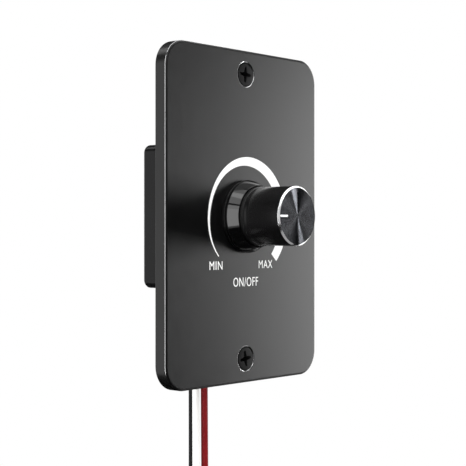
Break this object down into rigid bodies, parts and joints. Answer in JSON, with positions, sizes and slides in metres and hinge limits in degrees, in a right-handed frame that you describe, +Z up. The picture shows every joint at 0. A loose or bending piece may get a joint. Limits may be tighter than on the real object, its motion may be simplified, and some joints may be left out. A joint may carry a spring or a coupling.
{
  "type": "low voltage dimmer switch",
  "caption": "Flat black wall plate with a knob that turns to dim and pushes to switch, a trim collar, a rear housing and hanging lead wires.",
  "frame": {"origin": "centre of the face plate's back face, midway between the box screws, on the wall", "axes": "+X to the right seen from the room, +Y into the wall, +Z up; the knob faces -Y"},
  "size_m": [0.0672, 0.0447, 0.2306],
  "materials": {
    "plate_black": "satin black anodised plate",
    "screw_black": "black oxide",
    "print_white": "screen print",
    "collar_black": "gloss black",
    "knob_black": "satin black anodised, bare cut edge",
    "insert_plastic": "moulded",
    "shaft_metal": "turned",
    "bush_metal": "die cast",
    "steel": "zinc plated",
    "wafer_brown": "paper laminate",
    "rotor_plastic": "moulded",
    "contact_brass": "stamped spring brass",
    "switch_plastic": "moulded",
    "board_green": "solder mask",
    "chip_black": "moulded",
    "can_silver": "drawn can",
    "tinned": "tinned copper",
    "housing_black": "fine moulded texture",
    "grommet_black": "moulded",
    "wire_red": "smooth insulation",
    "wire_white": "smooth insulation",
    "wire_black": "smooth insulation"
  },
  "bodies": {
    "base": {"face_plate": "plate_black", "plate_screws": "screw_black", "dial_arc": "print_white", "trim_collar": "collar_black", "bushing": "bush_metal", "bushing_washer": "steel", "bushing_nut": "steel", "pot_cover": "steel", "track_wafer": "wafer_brown", "pot_terminals": "tinned", "switch_body": "switch_plastic", "switch_contacts": "contact_brass", "switch_spring": "steel", "circuit_board": "board_green", "board_screws": "steel", "power_transistor": "chip_black", "capacitor": "can_silver", "diode": "chip_black", "control_chip": "chip_black", "chip_resistors": "chip_black", "wire_posts": "tinned", "back_housing": "housing_black", "housing_screws": "steel", "grommet": "grommet_black", "wire_red": "wire_red", "wire_white": "wire_white", "wire_black": "wire_black", "end_red": "tinned", "end_white": "tinned", "end_black": "tinned"},
    "plunger": {"switch_plunger": "rotor_plastic"},
    "knob_assembly": {"knob": "knob_black", "pointer_line": "print_white", "knob_insert": "insert_plastic", "control_shaft": "shaft_metal"},
    "rotor_assembly": {"pot_rotor": "rotor_plastic", "wiper": "contact_brass"}
  },
  "joints": [
    {"name": "knob_push", "type": "slide", "parent": "base", "child": "plunger", "axis": [0, 1, 0], "range_m": [0, 0.0015], "stiffness_N_per_m": 1500, "springref_m": -0.001, "deforming": ["switch_spring"]},
    {"name": "knob_turn", "type": "hinge", "parent": "plunger", "child": "knob_assembly", "pos_m": [0, 0, 0], "axis": [0, 1, 0], "range_deg": [-45, 225]},
    {"name": "rotor_turn", "type": "hinge", "parent": "base", "child": "rotor_assembly", "pos_m": [0, 0, 0], "axis": [0, 1, 0], "range_deg": [-45, 225]}
  ],
  "couplings": [
    {"joint": "rotor_turn", "follows": "knob_turn", "ratio": 1}
  ]
}
